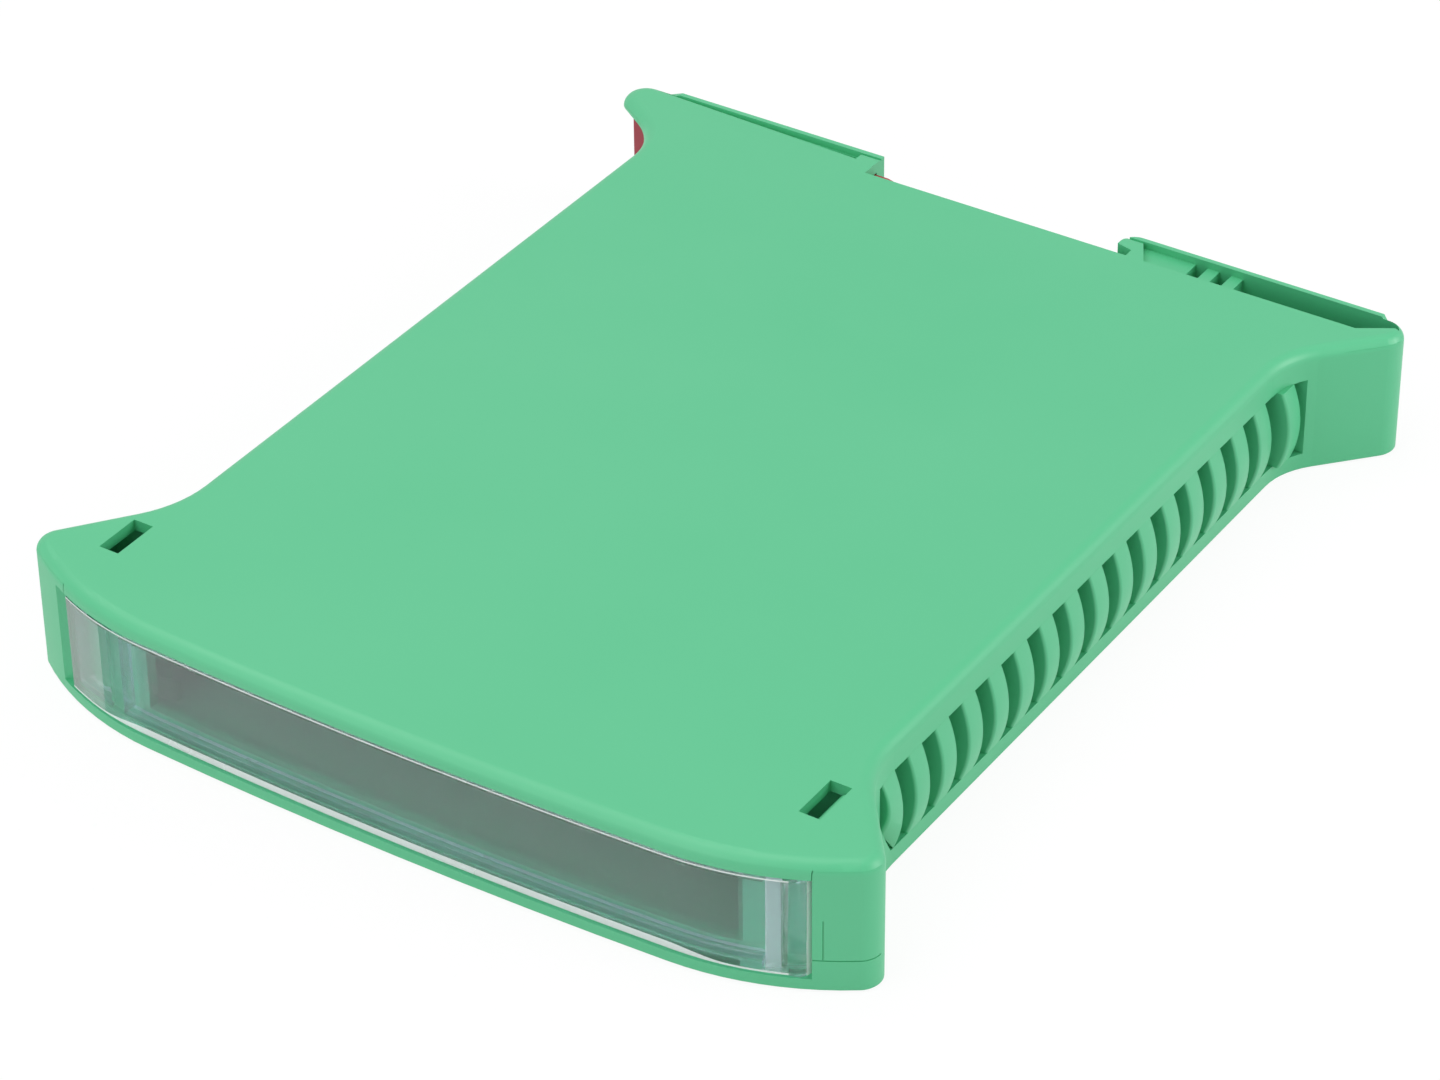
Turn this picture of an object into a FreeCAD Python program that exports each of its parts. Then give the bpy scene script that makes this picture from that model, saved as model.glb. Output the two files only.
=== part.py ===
import FreeCAD, Part
import math
import os

# A housing for one DIN rail module, lying on its flat side as it would on a bench.
# +Z is the width of the module on the rail, -Y is the front with the clear cover, +Y is the rail side.
# The origin is the middle of the underside. All sizes are in millimetres and degrees.

V = FreeCAD.Vector

# Outline of the housing, seen on its flat side
WIDTH = 116.3
DEPTH = 137.8
THICKNESS = 17.5
FLARE_OVERHANG = 9.75
FRONT_RADIUS = 695.0
SHOULDER_RADIUS = 40.0
FRONT_CORNER_RADIUS = 2.8
FRONT_CORNER_SETBACK = 10.35
FRONT_FLARE_LEAN = 37.8
FRONT_FLARE_RADIUS = 14.5
REAR_CORNER_RADIUS = 3.0
REAR_FLARE_LEAN_RIGHT = 42.2
REAR_FLARE_LEAN_LEFT = 56.0
REAR_FLARE_RADIUS = 10.7

# Moulded walls
FLOOR = 1.6
WALL = 1.8
LID_THICKNESS = 1.5
LID_EDGE = 0.9
RIM_RADIUS = 1.6
REAR_CREST_START = 4.0
REAR_CREST_END = 1.0
SEAM_LINE_HEIGHT = 0.15
SEAM_LINE_DEPTH = 0.12
SEAM_LINE_REAR = 9.0
UNDERSIDE_BEVEL = 0.2
PLAY = 0.1

# Seat for the mounting rail, with the fixed hook on the right
RAIL_WIDTH = 35.0
RAIL_LIP = 1.0
RAIL_CENTRE = 1.8
SEAT_DEPTH = 4.9
LEFT_FOOT_GAP = 3.6
HOOK_PLAY = 0.5
HOOK_GRIP = 1.8
HOOK_SLOT = 1.5
HOOK_TAPER = 0.6
HOOK_NOSE_RADIUS = 2.2
REAR_WALL = 0.7
END_BLOCK = 2.9
GROOVE_WIDTH = 1.8
GROOVE_DEPTH = 1.2
GROOVE_START = 0.25

# Open pockets in the right foot, and the step of its upper face below the lid
FOOT_STEP = 1.0
FOOT_STEP_START = 2.6
FOOT_STEP_SLANT = 2.7
POCKET_START = 8.0
POCKET_WIDTH = 1.7
POCKET_PITCH = 3.4
LONG_POCKET_LEAN = 32.0
LONG_POCKET_INSET = 1.3
LONG_POCKET_SETBACK = 2.2

# Front recess, the wall behind it and its window
TOP_LIP = 2.2
RECESS_DEPTH = 4.4
FRONT_WALL = 1.6
RIGHT_POST = 5.75
LEFT_POST = 8.25
WINDOW_FROM_LEFT_POST = 11.4
WINDOW_FROM_RIGHT_POST = 9.4
WINDOW_SILL = 1.2
WINDOW_HEIGHT = 11.0
GRIP_RADIUS = 3.2
GRIP_DEPTH = 1.5
POST_LINE_HEIGHT = 4.2
POST_LINE_INSET = 1.0
POST_LINE_LENGTH = 5.6

# Clear front cover
COVER_PLAY = 0.25
HINGE_PLAY = 0.45
COVER_PLATE = 1.5
COVER_FLANGE = 1.1
COVER_DEPTH = 3.5
BARREL_RADIUS = 1.9
PIN_RADIUS = 0.9
PIN_LENGTH = 0.9
PIN_PLAY = 0.1

# Slots for the snap hooks near the front of the lid
SLOT_WIDTH = 2.8
SLOT_LENGTH = 6.6
SLOT_INSET_RIGHT = 10.6
SLOT_INSET_LEFT = 9.3
SLOT_SETBACK_RIGHT = 15.8
SLOT_SETBACK_LEFT = 14.8
HOOK_THICKNESS = 1.2
HOOK_CATCH = 0.4

# Vents in the flanks
VENT_FRONT = 25.1
VENT_REAR_RIGHT = 12.9
VENT_REAR_LEFT = 19.8
VENT_SILL = 2.4
VENT_TOP = 13.4
VENT_CORNER = 5.8
VENT_CORNER_RUN = 3.3
RIB_PITCH = 5.88
RIB_WIDTH = 3.0
RIB_BULGE = 1.2
RIB_BEVEL = 0.4
RIB_EASING = 0.15
FIRST_RIB = 1.0
GRILLE_BACK = 1.3
GRILLE_LAP = 0.9

# Foot latch in the left foot
LATCH_TRAVEL = 3.0
LATCH_GRIP = 1.3
BAY_DEPTH = 11.8
BAY_FLOOR = 3.6
BAY_WALL = 1.6
LATCH_PLAY = 0.2
BAR_FRONT = 6.2
TAIL_INSET = 3.1
TAIL_SLOT_WIDTH = 1.7
TAIL_SLOT_LOW = 1.0
TAIL_SLOT_HEIGHT = 3.0
WEB_WIDTH = 4.4
NOSE_THICKNESS = 1.8
LEG_PITCH = 2.6
LEG_THICKNESS = 0.8
LEG_LENGTH = 12.0
STOP_WIDTH = 1.2

# Rests for a circuit board
REST_RADIUS = 2.2
REST_HEIGHT = 2.6
REST_PIN_RADIUS = 1.1
REST_PIN_HEIGHT = 1.6
REST_INSET_X = 9.0
REST_INSET_Y = 14.0

# Places that follow from the sizes above
FRONT = -DEPTH / 2
REAR = DEPTH / 2
SEAT = REAR - SEAT_DEPTH
SEAM = THICKNESS - LID_EDGE
LID_UNDER = THICKNESS - LID_THICKNESS
LIP_EDGE = THICKNESS - TOP_LIP
RAIL_LEFT = RAIL_CENTRE - RAIL_WIDTH / 2
RAIL_RIGHT = RAIL_CENTRE + RAIL_WIDTH / 2
HOOK_ROOT = RAIL_RIGHT + HOOK_PLAY
HOOK_TIP = RAIL_RIGHT - HOOK_GRIP
LEFT_FOOT_END = RAIL_LEFT - LEFT_FOOT_GAP
POST_RIGHT_FACE = WIDTH / 2 - RIGHT_POST
POST_LEFT_FACE = -WIDTH / 2 + LEFT_POST
LATCH_TOP = LID_UNDER - LATCH_PLAY
LATCH_RIGHT = LEFT_FOOT_END - BAY_WALL - LATCH_PLAY
LATCH_LEFT = LATCH_RIGHT - WEB_WIDTH
NOSE_FRONT = SEAT + RAIL_LIP
NOSE_REAR = NOSE_FRONT + NOSE_THICKNESS
FLANK = WIDTH / 2 - FLARE_OVERHANG
FAR = WIDTH + DEPTH

os.makedirs("parts", exist_ok=True)


def arc(centre, radius, start, end):
    """Edge on a circle, the short way from start to end."""
    middle = (start - centre) + (end - centre)
    middle.normalize()
    return Part.Arc(start, centre + middle * radius, end).toShape()


def line(start, end):
    return Part.LineSegment(start, end).toShape()


def face_of(points):
    """Flat face with straight sides, lying at the height of its points."""
    return Part.Face(Part.makePolygon(points + [points[0]]))


def prism(face, low, high):
    """Face of the plan, extruded from one height to another."""
    solid = face.extrude(V(0, 0, high - low))
    solid.translate(V(0, 0, low))
    return solid


def block(x, y, z):
    """Box between pairs of limits."""
    return Part.makeBox(x[1] - x[0], y[1] - y[0], z[1] - z[0], V(x[0], y[0], z[0]))


def plan_box(x, y):
    """Rectangle of the plan between pairs of limits."""
    return face_of([V(x[0], y[0], 0), V(x[1], y[0], 0), V(x[1], y[1], 0), V(x[0], y[1], 0)])


def moved(shape, x=0, y=0, z=0):
    copy = shape.copy()
    copy.translate(V(x, y, z))
    return copy


def mirrored(shape):
    """The same shape on the other flank."""
    return shape.mirror(V(0, 0, 0), V(1, 0, 0))


def inset(face, distance):
    """Face of the plan drawn in by a distance all round."""
    return face.makeOffset2D(-distance, 2)


def shoulder_centre(big_centre, big_radius, small_centre, small_radius, radius):
    """Centre of the arc that touches a larger and a smaller circle from inside and outside."""
    apart = (small_centre - big_centre).Length
    to_big = big_radius - radius
    to_small = radius - small_radius
    along = (to_big ** 2 - to_small ** 2 + apart ** 2) / (2 * apart)
    across = math.sqrt(max(to_big ** 2 - along ** 2, 0))
    unit = (small_centre - big_centre).normalize()
    return big_centre + unit * along + V(unit.y, -unit.x, 0) * across


def flare(corner, corner_radius, radius, lean, side):
    """Centre of a hollow flare, its touching point on the corner and on the flank, and on its own line."""
    normal = V(math.cos(math.radians(lean)), side * math.sin(math.radians(lean)), 0)
    reach = normal.dot(corner) + corner_radius + radius - normal.x * (FLANK + radius)
    centre = V(FLANK + radius, reach / normal.y, 0)
    return centre, corner + normal * corner_radius, V(FLANK, centre.y, 0), centre - normal * radius


def front_flare():
    """The hollow flare behind the front corner."""
    corner = V(WIDTH / 2 - FRONT_CORNER_RADIUS, FRONT + FRONT_CORNER_SETBACK, 0)
    return flare(corner, FRONT_CORNER_RADIUS, FRONT_FLARE_RADIUS, FRONT_FLARE_LEAN, 1)


def rear_flare(side):
    """The hollow flare in front of one foot, drawn on the right."""
    corner = V(WIDTH / 2 - REAR_CORNER_RADIUS, REAR - REAR_CORNER_RADIUS, 0)
    lean = REAR_FLARE_LEAN_RIGHT if side > 0 else REAR_FLARE_LEAN_LEFT
    return flare(corner, REAR_CORNER_RADIUS, REAR_FLARE_RADIUS, lean, -1)


def half_outline(side):
    """Edges of one half of the plan, drawn on the right, from the wide front arc to the rear wall."""
    front_corner = V(WIDTH / 2 - FRONT_CORNER_RADIUS, FRONT + FRONT_CORNER_SETBACK, 0)
    rear_corner = V(WIDTH / 2 - REAR_CORNER_RADIUS, REAR - REAR_CORNER_RADIUS, 0)
    front_centre = V(0, FRONT + FRONT_RADIUS, 0)
    shoulder = shoulder_centre(front_centre, FRONT_RADIUS, front_corner, FRONT_CORNER_RADIUS,
                               SHOULDER_RADIUS)
    start = front_centre + (shoulder - front_centre).normalize() * FRONT_RADIUS
    bend = shoulder + (front_corner - shoulder).normalize() * SHOULDER_RADIUS
    flare_f, leave_f, flank_f, meet_f = front_flare()
    flare_r, leave_r, flank_r, meet_r = rear_flare(side)
    back = V(rear_corner.x, REAR, 0)
    return start, back, [
        arc(shoulder, SHOULDER_RADIUS, start, bend),
        arc(front_corner, FRONT_CORNER_RADIUS, bend, leave_f),
        line(leave_f, meet_f),
        arc(flare_f, FRONT_FLARE_RADIUS, meet_f, flank_f),
        line(flank_f, flank_r),
        arc(flare_r, REAR_FLARE_RADIUS, flank_r, meet_r),
        line(meet_r, leave_r),
        arc(rear_corner, REAR_CORNER_RADIUS, leave_r, back),
    ]


def outline():
    """Plan of the whole housing, with the rail side as one straight line."""
    start, back, right = half_outline(1)
    left = [mirrored(edge) for edge in half_outline(-1)[2]]
    middle = Part.Arc(V(-start.x, start.y, 0), V(0, FRONT, 0), start).toShape()
    rear = line(back, V(-back.x, REAR, 0))
    return Part.Face(Part.Wire(Part.__sortEdges__(right + left + [middle, rear])))


def flank_at(y):
    """Half width of the housing at a place along the flank."""
    edge = line(V(0, y, 0), V(FAR, y, 0))
    return edge.common(PLAN).BoundBox.XMax


def rail_space():
    """Plan of what the rail takes: its seat, the slot behind the hook, and the way in."""
    under = SEAT + HOOK_SLOT
    tip = V(HOOK_TIP, under + HOOK_TAPER, 0)
    nose = V(HOOK_TIP, REAR - HOOK_NOSE_RADIUS, 0)
    over = V(HOOK_TIP + HOOK_NOSE_RADIUS, REAR, 0)
    out = V(over.x, REAR + WALL, 0)
    edges = [
        line(V(LEFT_FOOT_END, out.y, 0), V(LEFT_FOOT_END, SEAT, 0)),
        line(V(LEFT_FOOT_END, SEAT, 0), V(HOOK_ROOT, SEAT, 0)),
        line(V(HOOK_ROOT, SEAT, 0), V(HOOK_ROOT, under, 0)),
        line(V(HOOK_ROOT, under, 0), tip),
        line(tip, nose),
        arc(V(over.x, nose.y, 0), HOOK_NOSE_RADIUS, nose, over),
        line(over, out),
        line(out, V(LEFT_FOOT_END, out.y, 0)),
    ]
    return Part.Face(Part.Wire(edges))


def rear_crest():
    """Crisp upper edge of the rear wall, which sinks into the rounding towards its two ends."""
    half = WIDTH / 2 - REAR_CORNER_RADIUS
    low = THICKNESS - RIM_RADIUS
    points = [(-half, 0), (half, 0), (half, low), (half - REAR_CREST_END, THICKNESS),
              (-half + REAR_CREST_START, THICKNESS), (-half, low)]
    return face_of([V(x, REAR - REAR_WALL, z) for x, z in points]).extrude(V(0, REAR_WALL, 0))


def envelope():
    """The whole housing as one solid, rounded along its upper edge, with the crisp rear wall."""
    body = prism(PLAN, 0, THICKNESS)
    upper = [e for e in body.Edges if e.BoundBox.ZMin > THICKNESS - PLAY]
    lower = [e for e in body.Edges if e.BoundBox.ZMax < PLAY]
    body = body.makeFillet(RIM_RADIUS, upper).common(body.makeChamfer(UNDERSIDE_BEVEL, lower))
    body = body.fuse(rear_crest())
    return body.cut(prism(rail_space(), -WALL, THICKNESS + WALL))


def foot_opening():
    """Plan of the right foot where the lid leaves it open."""
    end = V(WIDTH / 2 - LONG_POCKET_INSET, REAR - LONG_POCKET_SETBACK, 0)
    run = (end.y - SEAT) / math.tan(math.radians(LONG_POCKET_LEAN))
    return face_of([V(HOOK_TIP, SEAT, 0), V(end.x - run, SEAT, 0), end, V(FAR, end.y, 0), V(FAR, FAR, 0),
                    V(HOOK_TIP, FAR, 0)])


def foot_pocket(left, right):
    """Plan of one open pocket in the right foot, from the lid to the rear wall."""
    room = foot_opening().common(inset(PLAN, REAR_WALL))
    return room.common(plan_box((left, right), (SEAT, FAR)))


def lid_plan():
    """Plan of the lid: the outline without the rail side, the right foot and the left end block."""
    plan = PLAN.cut(rail_space())
    plan = plan.cut(foot_opening())
    plan = plan.cut(plan_box((-FAR, 0), (REAR - REAR_WALL, FAR)))
    return plan.cut(plan_box((LEFT_FOOT_END - END_BLOCK, 0), (SEAT, FAR)))


def lid_rebate():
    """Plan of the thicker middle of the lid, inside the upper edge of the tub."""
    return lid_plan().common(inset(PLAN, WALL / 2))


def front_zone(depth, left, right):
    """Plan of the strip behind the curved front, as deep as given and between two sides."""
    zone = PLAN.cut(moved(PLAN, y=depth))
    return zone.common(plan_box((left, right), (FRONT - WALL, 0)))


def vent_span(side):
    """Front and rear end of the vent in one flank."""
    setback = VENT_REAR_RIGHT if side > 0 else VENT_REAR_LEFT
    return FRONT + VENT_FRONT, REAR - setback


def vent_window(side, low, high, ease=0):
    """Opening through one flank between two heights, with its cut front corner, drawn in by an ease."""
    start, end = vent_span(side)
    start = start + ease
    end = end - ease
    points = [V(0, end, low), V(0, end, high), V(0, start, high), V(0, start, VENT_SILL + VENT_CORNER),
              V(0, start + VENT_CORNER_RUN, low)]
    inner = FLANK - WALL - PLAY - GRILLE_BACK
    window = face_of([V(inner, p.y, p.z) for p in points]).extrude(V(WIDTH, 0, 0))
    return window if side > 0 else mirrored(window)


def cavity():
    """Inside of the tub, in front of the rail seat and the latch bay."""
    room = inset(PLAN, WALL).common(moved(PLAN, y=RECESS_DEPTH + FRONT_WALL))
    room = room.cut(plan_box((-FAR, FAR), (SEAT - WALL, FAR)))
    bay = plan_box((-FAR, LEFT_FOOT_END), (REAR - BAY_DEPTH - BAY_WALL, FAR))
    return prism(room.cut(bay), FLOOR, THICKNESS)


def latch_bay():
    """Room for the latch in the left foot, open at its outer end and slotted for the nose."""
    front = REAR - BAY_DEPTH
    right = LATCH_RIGHT + LATCH_PLAY
    room = inset(PLAN, REAR_WALL).common(plan_box((-FAR, right), (front, REAR - REAR_WALL)))
    bay = prism(room, BAY_FLOOR, LID_UNDER)
    tail = block((-FAR / 2, -FLANK + WALL), (front, NOSE_REAR + LATCH_PLAY), (BAY_FLOOR, LID_UNDER))
    nose = block((right - WALL, LEFT_FOOT_END + WALL), (NOSE_FRONT - LATCH_PLAY, NOSE_REAR + LATCH_PLAY),
                 (BAY_FLOOR, LATCH_TOP + LATCH_PLAY))
    stop_left = LATCH_LEFT - LEG_LENGTH - LATCH_TRAVEL - LATCH_PLAY - STOP_WIDTH
    bar_front = REAR - BAR_FRONT - LATCH_PLAY
    stop = block((stop_left, stop_left + STOP_WIDTH), (front - PLAY, bar_front),
                 (BAY_FLOOR - PLAY, LATCH_TOP))
    return bay.fuse([tail, nose]).cut(stop)


def board_rests():
    """Four posts with locating pins for a circuit board."""
    rests = []
    for x in (-FLANK + REST_INSET_X, FLANK - REST_INSET_X):
        for y in (FRONT + RECESS_DEPTH + FRONT_WALL + REST_INSET_Y, SEAT - WALL - REST_INSET_Y):
            top = FLOOR + REST_HEIGHT
            rests.append(Part.makeCylinder(REST_RADIUS, top - FLOOR / 2, V(x, y, FLOOR / 2)))
            rests.append(Part.makeCylinder(REST_PIN_RADIUS, REST_PIN_HEIGHT, V(x, y, top)))
    return rests


def slot_place(side):
    """Middle of one snap slot in the lid."""
    if side > 0:
        return V(WIDTH / 2 - SLOT_INSET_RIGHT, FRONT + SLOT_SETBACK_RIGHT, 0)
    return V(-WIDTH / 2 + SLOT_INSET_LEFT, FRONT + SLOT_SETBACK_LEFT, 0)


def snap_hooks():
    """Two hooks that stand up from the floor and catch in the slots of the lid."""
    hooks = []
    for side in (-1, 1):
        at = slot_place(side)
        outer = at.x + SLOT_WIDTH / 2 - PLAY
        inner = outer - HOOK_THICKNESS
        half = SLOT_LENGTH / 2 - 2 * PLAY
        low = FLOOR / 2
        top = LID_UNDER + HOOK_CATCH
        profile = [(inner, low), (outer, low), (outer, top), (inner + HOOK_CATCH, top), (inner, LID_UNDER)]
        side_face = face_of([V(x, at.y - half, z) for x, z in profile])
        hooks.append(side_face.extrude(V(0, 2 * half, 0)))
    return hooks


def hinge_place():
    """Axis of the front cover, behind the curved front at the right post."""
    x = POST_RIGHT_FACE - HINGE_PLAY - BARREL_RADIUS
    edge = line(V(x, FRONT - WALL, 0), V(x, 0, 0)).common(PLAN)
    return V(x, edge.BoundBox.YMin + BARREL_RADIUS + PLAY, 0)


def pin_hole(height):
    """Hole for one pin of the front cover, from a height upwards."""
    hinge = hinge_place()
    return Part.makeCylinder(PIN_RADIUS + PIN_PLAY, PIN_LENGTH + PIN_PLAY, V(hinge.x, hinge.y, height))


def finger_grip():
    """Upright hollow in the left post, where a finger gets behind the free end of the cover."""
    front = line(V(POST_LEFT_FACE, FRONT, 0), V(POST_LEFT_FACE, 0, 0)).common(PLAN).BoundBox.YMin
    centre = V(POST_LEFT_FACE, front + GRIP_DEPTH - GRIP_RADIUS, FLOOR)
    hollow = Part.makeCylinder(GRIP_RADIUS, LIP_EDGE - FLOOR, centre)
    return hollow.common(block((-FAR, POST_LEFT_FACE + PLAY), (-FAR, FAR), (0, THICKNESS)))


def seam_lines():
    """Fine lines around the corners below the lid, and around the panel in the right post."""
    skin = PLAN.cut(inset(PLAN, SEAM_LINE_DEPTH))
    flanks = plan_box((-FAR, FAR), (FRONT + FRONT_CORNER_SETBACK, REAR - SEAM_LINE_REAR))
    feet = plan_box((-FAR, FAR), (REAR - REAR_CORNER_RADIUS, FAR))
    post = skin.common(plan_box((POST_RIGHT_FACE, FAR), (-FAR, FRONT + FRONT_CORNER_SETBACK)))
    left = POST_RIGHT_FACE + POST_LINE_INSET
    upright = skin.common(plan_box((left, left + SEAM_LINE_HEIGHT), (-FAR, 0)))
    return [prism(skin.cut(flanks).cut(feet), SEAM - SEAM_LINE_HEIGHT, SEAM),
            prism(post, POST_LINE_HEIGHT, POST_LINE_HEIGHT + SEAM_LINE_HEIGHT),
            prism(upright, POST_LINE_HEIGHT, POST_LINE_HEIGHT + POST_LINE_LENGTH)]


def foot_pockets():
    """The open pockets in the right foot, and the step of its upper face below the lid."""
    start = HOOK_ROOT + POCKET_START
    left = HOOK_ROOT + FOOT_STEP_START
    slant = face_of([V(left, SEAT, 0), V(FAR, SEAT, 0), V(FAR, REAR, 0), V(left - FOOT_STEP_SLANT, REAR, 0)])
    step = foot_pocket(HOOK_TIP, FAR).common(slant)
    cuts = [prism(step, THICKNESS - FOOT_STEP, THICKNESS + WALL),
            prism(foot_pocket(start + 2 * POCKET_PITCH, FAR), FLOOR, THICKNESS)]
    for index in range(2):
        left = start + index * POCKET_PITCH
        cuts.append(prism(foot_pocket(left, left + POCKET_WIDTH), FLOOR, THICKNESS))
    return cuts


def front_window():
    """Window in the wall behind the front cover."""
    sill = FLOOR + WINDOW_SILL
    return block((POST_LEFT_FACE + WINDOW_FROM_LEFT_POST, POST_RIGHT_FACE - WINDOW_FROM_RIGHT_POST),
                 (FRONT, FRONT + RECESS_DEPTH + 3 * FRONT_WALL), (sill, sill + WINDOW_HEIGHT))


def base_shell():
    """The tub of the housing, with posts, front wall, rail feet, latch bay and snap hooks."""
    body = ENVELOPE.cut(prism(lid_plan(), SEAM, THICKNESS + WALL))
    body = body.cut([prism(lid_rebate(), LID_UNDER, THICKNESS), cavity()])
    body = body.cut(prism(front_zone(RECESS_DEPTH, POST_LEFT_FACE, POST_RIGHT_FACE), FLOOR, THICKNESS))
    body = body.cut(front_window())
    for side in (-1, 1):
        body = body.cut(vent_window(side, VENT_SILL, VENT_TOP))
    body = body.cut(foot_pockets())
    body = body.cut(latch_bay())
    body = body.cut(finger_grip())
    body = body.cut(pin_hole(FLOOR - PIN_LENGTH - PIN_PLAY))
    body = body.cut(seam_lines())
    return body.fuse(board_rests() + snap_hooks()).removeSplitter()


def rear_groove():
    """Sloping cut along the rear edge of the lid on the left foot, which grows towards its inner end."""
    back = REAR - REAR_WALL
    outer = -WIDTH / 2 + REAR_CORNER_RADIUS
    ends = []
    for x, share in ((outer, GROOVE_START), (LEFT_FOOT_END - END_BLOCK, 1)):
        low = V(x, back, THICKNESS - share * GROOVE_DEPTH)
        front = V(x, back - share * GROOVE_WIDTH, THICKNESS)
        ends.append(Part.makePolygon([low, front, V(x, back, THICKNESS), low]))
    return Part.makeLoft(ends, True)


def side_cover():
    """The lid, thicker inside the upper edge of the tub, with its lip over the front and its two slots."""
    body = ENVELOPE.common(prism(lid_plan(), SEAM, THICKNESS + WALL))
    body = body.fuse(prism(lid_rebate(), LID_UNDER, SEAM + PLAY))
    lip_zone = front_zone(RECESS_DEPTH - PLAY, POST_LEFT_FACE + PLAY, POST_RIGHT_FACE - PLAY)
    body = body.fuse(ENVELOPE.common(prism(lip_zone, LIP_EDGE, SEAM + PLAY)))
    for side in (-1, 1):
        at = slot_place(side)
        body = body.cut(block((at.x - SLOT_WIDTH / 2, at.x + SLOT_WIDTH / 2),
                              (at.y - SLOT_LENGTH / 2, at.y + SLOT_LENGTH / 2),
                              (LIP_EDGE, THICKNESS + WALL)))
    body = body.cut(pin_hole(LIP_EDGE))
    return body.cut(rear_groove()).removeSplitter()


def front_cover():
    """Clear cover: a curved plate with upper and lower flanges, a closed free end and a hinge barrel."""
    low = FLOOR + COVER_PLAY
    high = LIP_EDGE - COVER_PLAY
    left = POST_LEFT_FACE + COVER_PLAY
    hinge = hinge_place()
    skin = moved(PLAN, y=PLAY)
    strip = skin.common(plan_box((left, hinge.x), (FRONT - WALL, 0)))
    plate = strip.cut(moved(skin, y=COVER_PLATE))
    flange = strip.cut(moved(skin, y=COVER_DEPTH))
    short = plan_box((left, hinge.x - BARREL_RADIUS - COVER_PLATE), (FRONT - WALL, 0))
    flange = flange.common(short)
    free_end = flange.common(plan_box((left, left + COVER_PLATE), (FRONT - WALL, 0)))
    body = prism(plate, low, high)
    body = body.fuse([prism(flange, low, low + COVER_FLANGE), prism(flange, high - COVER_FLANGE, high),
                      prism(free_end, low, high)])
    barrel = Part.makeCylinder(BARREL_RADIUS, high - low, V(hinge.x, hinge.y, low))
    pin_low = FLOOR - PIN_LENGTH + PIN_PLAY
    pin_high = LIP_EDGE + PIN_LENGTH - PIN_PLAY
    pins = Part.makeCylinder(PIN_RADIUS, pin_high - pin_low, V(hinge.x, hinge.y, pin_low))
    return body.fuse([barrel, pins]).removeSplitter()


def foot_latch():
    """Red slider that grips the rail: bar with a slotted tail, nose, web and two spring legs."""
    low = BAY_FLOOR + LATCH_PLAY
    web_front = REAR - BAY_DEPTH + LATCH_PLAY
    bar_front = REAR - BAR_FRONT
    tail = -WIDTH / 2 + TAIL_INSET
    tip = RAIL_LEFT + LATCH_GRIP
    points = [(tail, bar_front), (LATCH_LEFT, bar_front), (LATCH_LEFT, web_front), (LATCH_RIGHT, web_front),
              (LATCH_RIGHT, NOSE_FRONT), (tip, NOSE_FRONT), (tip, NOSE_FRONT + NOSE_THICKNESS / 2),
              (tip - LATCH_TRAVEL, NOSE_REAR), (tail, NOSE_REAR)]
    body = prism(face_of([V(x, y, 0) for x, y in points]), low, LATCH_TOP)
    slot_left = tail + LEG_THICKNESS
    body = body.cut(block((slot_left, slot_left + TAIL_SLOT_WIDTH), (bar_front - WALL, REAR),
                          (low + TAIL_SLOT_LOW, low + TAIL_SLOT_LOW + TAIL_SLOT_HEIGHT)))
    legs = []
    for index in range(2):
        y = web_front + index * LEG_PITCH
        legs.append(block((LATCH_LEFT - LEG_LENGTH, LATCH_LEFT + LEG_THICKNESS), (y, y + LEG_THICKNESS),
                          (low, LATCH_TOP)))
    return body.fuse(legs).removeSplitter()


def forward_arcs(solid, y):
    """The curved outer edges in the forward half of a rib that ends at y."""
    edges = [e for e in solid.Edges if e.Curve.TypeId == "Part::GeomCircle"]
    return [e for e in edges if e.BoundBox.YMax < y - RIB_WIDTH / 2]


def rib(y, inner):
    """One rib of a vent: straight behind, bulging outwards in front, with a soft forward edge."""
    face_x = flank_at(y)
    low = VENT_SILL + PLAY
    high = VENT_TOP - PLAY
    start = V(face_x, y - RIB_WIDTH, low)
    end = V(face_x, y - RIB_WIDTH, high)
    bulge = Part.Arc(start, V(face_x + RIB_BULGE, start.y, (low + high) / 2), end).toShape()
    back_low = V(inner, start.y, low)
    back_high = V(inner, start.y, high)
    wire = Part.Wire([bulge, line(end, back_high), line(back_high, back_low), line(back_low, start)])
    solid = Part.Face(wire).extrude(V(0, RIB_WIDTH, 0))
    for bevel in (RIB_BEVEL, RIB_EASING):
        solid = solid.makeChamfer(bevel, forward_arcs(solid, y))
    return solid


def vent_grille(side):
    """Strip of ribs that stands in one flank, held behind the wall by a frame larger than the vent."""
    start, end = vent_span(side)
    count = int((end - start - FIRST_RIB - RIB_WIDTH) / RIB_PITCH) + 1
    outer = FLANK - WALL - PLAY
    inner = outer - GRILLE_BACK
    low = FLOOR + PLAY
    high = VENT_TOP + GRILLE_LAP
    frame = block((inner, outer), (start - GRILLE_LAP, end + GRILLE_LAP), (low, high))
    opening = block((inner - WALL, outer + WALL), (start + GRILLE_LAP, end - GRILLE_LAP),
                    (VENT_SILL + GRILLE_LAP, VENT_TOP - GRILLE_LAP))
    frame = frame.cut(opening)
    ribs = []
    for index in range(count):
        ribs.append(rib(start + FIRST_RIB + RIB_WIDTH + index * RIB_PITCH, inner + PLAY))
    corner = vent_window(side, VENT_SILL + PLAY, VENT_TOP - PLAY, PLAY)
    corner = corner if side > 0 else mirrored(corner)
    ribs[0] = ribs[0].common(corner)
    grille = frame.fuse(ribs).removeSplitter()
    return grille if side > 0 else mirrored(grille)


PLAN = outline()
ENVELOPE = envelope()

NODES = {
    "base_shell": base_shell(),
    "side_cover": side_cover(),
    "front_cover": front_cover(),
    "foot_latch": foot_latch(),
    "right_vent_grille": vent_grille(1),
    "left_vent_grille": vent_grille(-1),
}

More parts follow.
